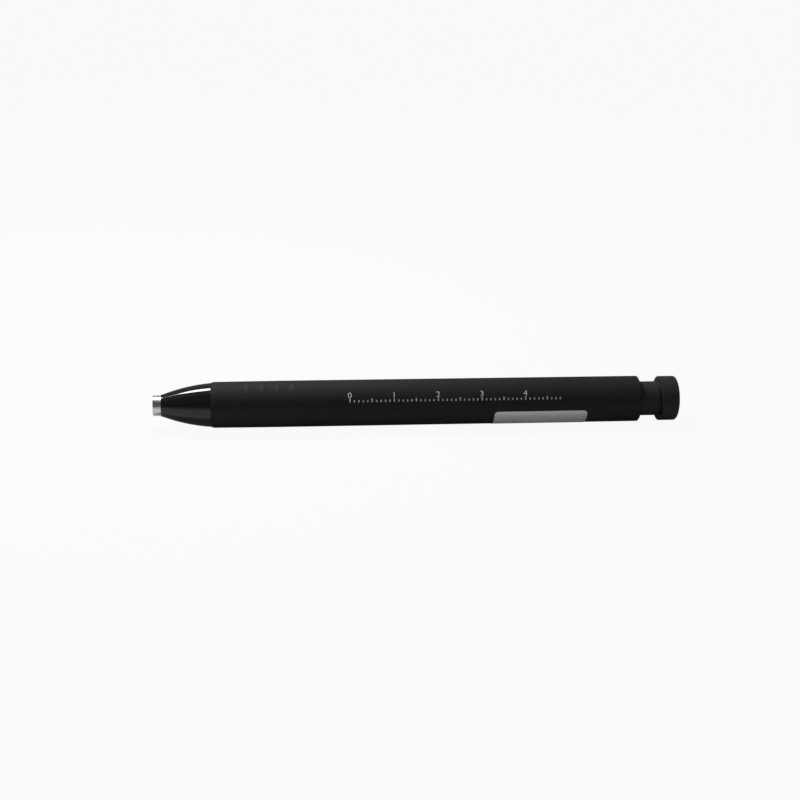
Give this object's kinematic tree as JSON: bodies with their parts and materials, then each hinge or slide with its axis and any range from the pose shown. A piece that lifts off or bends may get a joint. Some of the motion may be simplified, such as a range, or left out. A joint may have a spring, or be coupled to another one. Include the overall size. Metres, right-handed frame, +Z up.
{
  "type": "pencil eraser stick",
  "caption": "Knock eraser pen: matt black barrel, glossy nose with a metal guide pipe, sprung cap that feeds a thin white eraser stick.",
  "frame": {"origin": "middle of the pen's length, on the flat ground that it lies on with its label underneath", "axes": "+X along the pen towards the knock cap, the eraser end towards -X; +Z up; +Y away from the viewer of the picture"},
  "size_m": [0.12, 0.0105, 0.0106],
  "materials": {
    "soft_black": "soft-touch matt",
    "gloss_black": "high gloss",
    "bright_metal": "polished",
    "silver_label": "satin silver film",
    "white_acetal": "moulded",
    "brake_rubber": "matt",
    "brass": "turned",
    "spring_steel": "bright wire",
    "clear_tube": "natural plastic",
    "eraser_white": "matt vinyl"
  },
  "bodies": {
    "barrel": {"barrel": "soft_black", "barrel_label": "silver_label", "mechanism_sleeve": "white_acetal"},
    "nose_seat": {"eraser_brake": "brake_rubber"},
    "nose": {"nose_cone": "gloss_black", "tip_pipe": "bright_metal"},
    "spring": {"return_spring": "spring_steel"},
    "knock": {"knock_cap": "soft_black", "knock_sleeve": "soft_black", "eraser_tube": "clear_tube", "chuck": "brass"},
    "clutch": {"clutch_ring": "brass"},
    "eraser": {"eraser_stick": "eraser_white"}
  },
  "joints": [
    {"name": "nose_advance", "type": "slide", "parent": "barrel", "child": "nose_seat", "axis": [-1, 0, 0], "range_m": [0, 0.004]},
    {"name": "nose_unscrew", "type": "hinge", "parent": "nose_seat", "child": "nose", "pos_m": [-0.05, 0, 0.00531], "axis": [-1, 0, 0], "range_deg": [0, 1440]},
    {"name": "knock_turn", "type": "hinge", "parent": "barrel", "child": "spring", "pos_m": [-0.035, 0, 0.00531], "axis": [1, 0, 0], "continuous": true},
    {"name": "knock_press", "type": "slide", "parent": "spring", "child": "knock", "axis": [-1, 0, 0], "range_m": [0, 0.004], "stiffness_N_per_m": 140, "springref_m": -0.006, "deforming": ["return_spring"]},
    {"name": "clutch_slide", "type": "slide", "parent": "barrel", "child": "clutch", "axis": [-1, 0, 0], "range_m": [0, 0.0015]},
    {"name": "eraser_feed", "type": "slide", "parent": "barrel", "child": "eraser", "axis": [-1, 0, 0], "range_m": [0, 0.07]}
  ],
  "couplings": [
    {"joint": "nose_unscrew", "follows": "nose_advance", "rad_per_m": 6283.2},
    {"joint": "clutch_slide", "follows": "knock_press", "ratio": 0.375}
  ]
}
